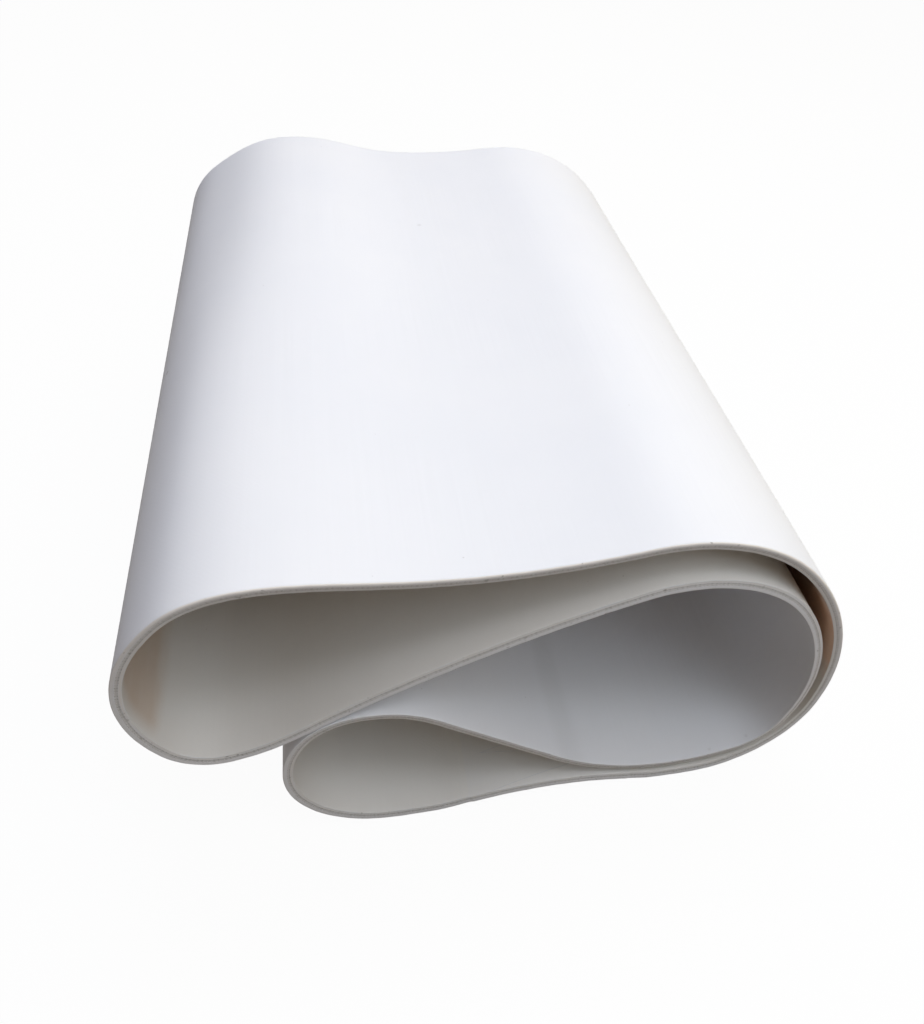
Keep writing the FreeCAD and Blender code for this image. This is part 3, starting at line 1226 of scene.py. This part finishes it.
@dataclass
class Studio:
    """Camera, floor and soft light.

    Attributes:
        eye: the camera's place.
        yaw: turn of the view to the right of +Y, in degrees.
        pitch: tilt of the view below level, in degrees.
        roll: turn of the picture, in degrees.
        focal: focal length in pixels of the photo's frame.
        axis: the pixel that the lens points at.
        sensor: the camera's sensor width, in millimetres.
        floor_half: half the floor's side.
        floor_colour: colour of the floor where its shadow shows.
        floor_glow: share of plain white in the floor that the camera sees.
        floor_bounce: colour of the light that the floor sends back to the belt.
        backdrop: brightness of the room behind the floor, as the camera sees it.
        sky: colour of the light that comes from all round.
        sky_strength: its strength overhead.
        sky_lean: how much brighter it is on the right and darker on the left.
        softboxes: the lamps.
    """

    eye: tuple[float, float, float] = (-80.966 * MM, -457.05 * MM, 468.466 * MM)
    yaw: float = 17.843
    pitch: float = 41.114
    roll: float = -8.212
    focal: float = 854.186
    axis: tuple[float, float] = (540.0, 470.0)
    sensor: float = 36.0
    floor_half: float = 8.0
    floor_colour: Colour = (0.9, 0.9, 0.9)
    floor_glow: float = 0.96
    floor_bounce: Colour = (0.33, 0.285, 0.25)
    backdrop: float = 0.985
    sky: Colour = (1.0, 0.88, 0.71)
    sky_strength: float = 0.32
    sky_lean: float = 0.75
    softboxes: tuple[Softbox, ...] = (
        Softbox("right_softbox", place=(1.1, 0.3, 1.6), side=1.0, power=9.6, colour=(1.0, 0.92, 0.65)),
        Softbox("back_softbox", place=(0.1, 0.5, 1.9), side=0.8, power=13.6, colour=(0.69, 0.77, 1.0)),
        Softbox("front_softbox", place=(0.5, -1.0, 1.6), side=1.0, power=8.0, colour=(0.76, 0.88, 1.0)),
        Softbox("top_softbox", place=(0.15, -0.5, 1.95), side=0.8, power=6.6, colour=(0.92, 0.93, 1.0)),
    )

    def camera(self) -> None:
        """Put the camera where the photo was taken, with the frame shifted off the lens axis as there."""
        yaw, pitch, roll = (math.radians(angle) for angle in (self.yaw, self.pitch, self.roll))
        north, east = math.cos(yaw), math.sin(yaw)
        ahead = np.array([east * math.cos(pitch), north * math.cos(pitch), -math.sin(pitch)])
        level = np.array([north, -east, 0.0])
        under = np.cross(ahead, level)
        right = math.cos(roll) * level + math.sin(roll) * under
        down = -math.sin(roll) * level + math.cos(roll) * under
        data = bpy.data.cameras.new("photo_camera")
        data.sensor_width = self.sensor
        data.lens = self.focal * self.sensor / IMAGE_HEIGHT
        data.shift_x = (0.5 * IMAGE_WIDTH - self.axis[0]) / IMAGE_HEIGHT
        data.shift_y = (self.axis[1] - 0.5 * IMAGE_HEIGHT) / IMAGE_HEIGHT
        camera = add_object("photo_camera", data)
        camera.matrix_world = placement(self.eye, [right, -down, -ahead])
        bpy.context.scene.camera = camera

    def floor(self) -> bpy.types.Object:
        """Lay a pale floor that the camera sees nearly white, with the belt's shadow on it.

        Returns:
            The floor.
        """
        half = self.floor_half
        mesh = bpy.data.meshes.new("floor")
        corners = [(-half, -half, 0.0), (half, -half, 0.0), (half, half, 0.0), (-half, half, 0.0)]
        mesh.from_pydata(corners, [], [(0, 1, 2, 3)])
        material = bpy.data.materials.new("pale_floor")
        wiring = Wiring.fresh(material)
        path = wiring.add("ShaderNodeLightPath").outputs
        seen = wiring.math("MAXIMUM", path["Is Camera Ray"], path["Is Glossy Ray"])
        seen = wiring.math("MAXIMUM", seen, path["Is Transmission Ray"])
        lit = wiring.add("ShaderNodeBsdfDiffuse", {"Color": (*self.floor_colour, 1.0)}).outputs[0]
        white = wiring.add("ShaderNodeEmission", {"Color": WHITE, "Strength": 1.0}).outputs[0]
        shown = wiring.add("ShaderNodeMixShader", {0: self.floor_glow, 1: lit, 2: white}).outputs[0]
        bounce = wiring.add("ShaderNodeBsdfDiffuse", {"Color": (*self.floor_bounce, 1.0)}).outputs[0]
        both = wiring.add("ShaderNodeMixShader", {0: seen, 1: bounce, 2: shown}).outputs[0]
        wiring.add("ShaderNodeOutputMaterial", {"Surface": both})
        mesh.materials.append(material)
        floor = add_object("floor", mesh)
        return floor

    def light(self) -> None:
        """Light the belt from softboxes and a pale room, bright overhead and darker towards the left wall.

        In the direction (x, y, z) the room's brightness is (1 + 2 z) / 3, with z held above 0, times
        1 + lean x, times its strength.
        """
        world = bpy.data.worlds.new("soft_room")
        bpy.context.scene.world = world
        wiring = Wiring.fresh(world)
        path = wiring.add("ShaderNodeLightPath").outputs
        ray = wiring.add("ShaderNodeTexCoord").outputs["Generated"]
        right, _, up = wiring.parts(ray)
        glow = wiring.math("MULTIPLY_ADD", wiring.math("MAXIMUM", up, 0.0), 2.0 / 3.0, 1.0 / 3.0)
        glow = wiring.math("MULTIPLY", glow, wiring.math("MULTIPLY_ADD", right, self.sky_lean, 1.0))
        glow = wiring.math("MULTIPLY", glow, self.sky_strength)
        room = wiring.add("ShaderNodeBackground", {"Color": (*self.sky, 1.0), "Strength": glow}).outputs[0]
        white = wiring.add("ShaderNodeBackground", {"Color": WHITE, "Strength": self.backdrop}).outputs[0]
        both = wiring.add("ShaderNodeMixShader", {0: path["Is Camera Ray"], 1: room, 2: white}).outputs[0]
        wiring.add("ShaderNodeOutputWorld", {"Surface": both})
        for softbox in self.softboxes:
            softbox.hang()


@dataclass
class ConveyorBelt:
    """The laminate: two covers, two plies, the skim between them, and the seam of the splice.

    Attributes:
        pulley_cover_depth: depth of the pulley cover.
        fabric_pitch: pitch of the weave that shows in the faces.
    """

    pulley_cover_depth: float = 1.5 * MM
    fabric_pitch: float = 1.4 * MM

    def __post_init__(self) -> None:
        """Read the sheet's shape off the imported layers."""
        line = FoldLine.from_cut_edge(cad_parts["carry_cover"])
        low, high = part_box("carry_cover")
        self.levels = {
            node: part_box(node)[0].z - low.z
            for node in ("carry_cover", "carry_ply", "interply_skim", "pulley_ply", "pulley_cover")
        }
        weld_low, weld_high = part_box("splice_weld")
        outer_bend = line.station_rightmost()
        inner_bend = line.station_rightmost(0.5 * line.length)
        self.sheet = BondedSheet(
            line=line,
            half_width=0.5 * (high.y - low.y),
            thickness=self.levels["pulley_cover"] + self.pulley_cover_depth,
            splice_station=line.station_under(0.5 * (weld_low.x + weld_high.x)),
            near=KnifeEdge(wander=0.16 * MM, chatter=0.035 * MM, lean=0.9 * MM, phase=0.7),
            far=KnifeEdge(wander=0.20 * MM, chatter=0.035 * MM, lean=0.4 * MM, phase=2.9),
            rises=(
                Rise(line.station_over(-76.0 * MM), reach=24.0 * MM, height=6.3 * MM, end=End.FAR),
                Rise(line.station_over(-150.0 * MM), reach=18.0 * MM, height=-2.7 * MM, end=End.FAR),
                Rise(line.station_over(70.0 * MM), reach=40.0 * MM, height=-2.9 * MM, end=End.FAR),
                Rise(outer_bend, reach=55.0 * MM, height=1.6 * MM, end=End.NEAR),
                Rise(inner_bend + 15.0 * MM, reach=35.0 * MM, height=-0.9 * MM, end=End.NEAR),
                Rise(line.station_over(-111.0 * MM), reach=14.0 * MM, height=-1.7 * MM, end=End.NEAR),
                Rise(line.station_over(-152.0 * MM), reach=11.0 * MM, height=0.9 * MM, end=End.NEAR),
            ),
            wear=Wear(start=240.0 * MM, end=720.0 * MM, fade=90.0 * MM),
        )

    def layers(self) -> list[Layer]:
        """The five layers, from the carrying face to the pulley face.

        Returns:
            The layers in order.
        """
        carry_ply, skim, pulley_ply, pulley_cover = list(self.levels.values())[1:]
        ply = {"recess": 0.08 * MM, "cut": EdgeCut.YARN_ENDS, "rows": 9}
        return [
            Layer("carry_cover", "carry_pvc", 0.0, carry_ply, round_top=0.4 * MM, worn_top=1.6 * MM),
            Layer("carry_ply", "carry_fabric", carry_ply, skim, **ply),
            Layer("interply_skim", "skim_pvc", skim, pulley_ply, recess=0.05 * MM, rows=9),
            Layer("pulley_ply", "pulley_fabric", pulley_ply, pulley_cover, **ply),
            Layer("pulley_cover", "pulley_pvc", pulley_cover, self.sheet.thickness, round_bottom=0.3 * MM),
        ]

    def finishes(self) -> dict[str, PvcFinish | FabricFinish]:
        """The finish of each material slot.

        Returns:
            The finishes by slot.
        """
        pitch = self.fabric_pitch
        # Painted shade: a faint grey band across the carrying face that stands for the shade of a slight kink
        # there.
        crease_shade = PaintedShading(
            start=1336.0 * MM,
            end=1364.0 * MM,
            fade_in=13.0 * MM,
            fade_out=13.0 * MM,
            inset=0.1 * MM,
            colour=(0.46, 0.46, 0.44),
            strength=0.12,
        )
        # Painted warm light: an orange tint on the pulley face at the right bends, standing for warm light in
        # the gap between them.
        right_bend_warm_light = PaintedShading(
            start=235.0 * MM,
            end=345.0 * MM,
            fade_in=35.0 * MM,
            fade_out=30.0 * MM,
            inset=0.1 * MM,
            colour=(0.97, 0.66, 0.48),
            strength=1.0,
        )
        # Painted warm light: a brown tint on the pulley face inside the upper left loop, standing for warm
        # light that comes through the belt there.
        left_loop_warm_light = PaintedShading(
            start=680.0 * MM,
            end=754.0 * MM,
            fade_in=30.0 * MM,
            fade_out=15.0 * MM,
            inset=11.0 * MM,
            colour=(0.66, 0.51, 0.39),
            strength=0.8,
        )
        flecks = (
            Fleck(station=510.0 * MM, across=97.0 * MM, radius=2.2 * MM, strength=0.16),
            Fleck(station=679.5 * MM, across=-28.0 * MM, radius=2.2 * MM, strength=0.4),
            Fleck(station=1257.5 * MM, across=-222.0 * MM, radius=1.5 * MM, strength=0.12),
            Fleck(station=1234.0 * MM, across=-221.0 * MM, radius=1.5 * MM, strength=0.12),
        )
        return {
            "carry_pvc": PvcFinish(
                "satin_white_pvc",
                colour=(0.88, 0.88, 0.90),
                shade=(0.85, 0.855, 0.885),
                cut=(0.87, 0.865, 0.88),
                rim_glow=(0.97, 0.895, 0.82),
                roughness=0.55,
                imprint=0.10,
                pitch=pitch,
                painted_shading=(crease_shade,),
                flecks=flecks,
            ),
            "carry_fabric": FabricFinish(
                "carry_ply_polyester", thread=(0.77, 0.76, 0.76), gap=(0.66, 0.65, 0.65), pitch=pitch
            ),
            "skim_pvc": PvcFinish(
                "grey_white_skim_pvc",
                colour=(0.62, 0.61, 0.58),
                shade=(0.55, 0.54, 0.52),
                cut=(0.80, 0.785, 0.78),
                rim_glow=(0.80, 0.785, 0.78),
                roughness=0.6,
                imprint=0.0,
                pitch=pitch,
            ),
            "pulley_fabric": FabricFinish(
                "pulley_ply_polyester", thread=(0.66, 0.65, 0.65), gap=(0.53, 0.52, 0.52), pitch=pitch
            ),
            "pulley_pvc": PvcFinish(
                "matt_warm_pvc",
                colour=(0.88, 0.855, 0.82),
                shade=(0.85, 0.82, 0.78),
                cut=(0.83, 0.83, 0.85),
                rim_glow=(0.85, 0.85, 0.87),
                roughness=0.58,
                imprint=0.55,
                pitch=pitch,
                painted_shading=(right_bend_warm_light, left_loop_warm_light),
            ),
            "weld_pvc": PvcFinish(
                "fused_pvc",
                colour=(0.80, 0.80, 0.81),
                shade=(0.74, 0.74, 0.75),
                cut=(0.80, 0.79, 0.78),
                rim_glow=(0.80, 0.79, 0.78),
                roughness=0.30,
                imprint=0.0,
                pitch=pitch,
            ),
        }

    def build(self) -> dict[str, bpy.types.Object]:
        """Build and dress every piece.

        Returns:
            The pieces by node.
        """
        effects = Effects()
        sheet = self.sheet
        mark = SpliceMark(
            station=sheet.splice_station,
            half_belt=0.5 * sheet.line.length,
            half_width=sheet.half_width,
            half_zone=0.5 * sheet.press_length,
        )
        materials = {slot: finish.material(effects, mark) for slot, finish in self.finishes().items()}
        parts = [*self.layers(), SpliceWeld()]
        return {part.node: part.build(sheet, materials[part.slot]) for part in parts}


def main() -> None:
    logging.basicConfig(level=logging.INFO)
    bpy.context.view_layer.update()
    scene = bpy.context.scene
    scene.view_settings.view_transform = "Standard"
    studio = Studio()
    studio.camera()
    floor = studio.floor()
    studio.light()
    belt = ConveyorBelt()
    LOG.info("fold line: %.1f mm", belt.sheet.line.length / MM)
    pieces = belt.build()


if __name__ == "__main__":
    main()
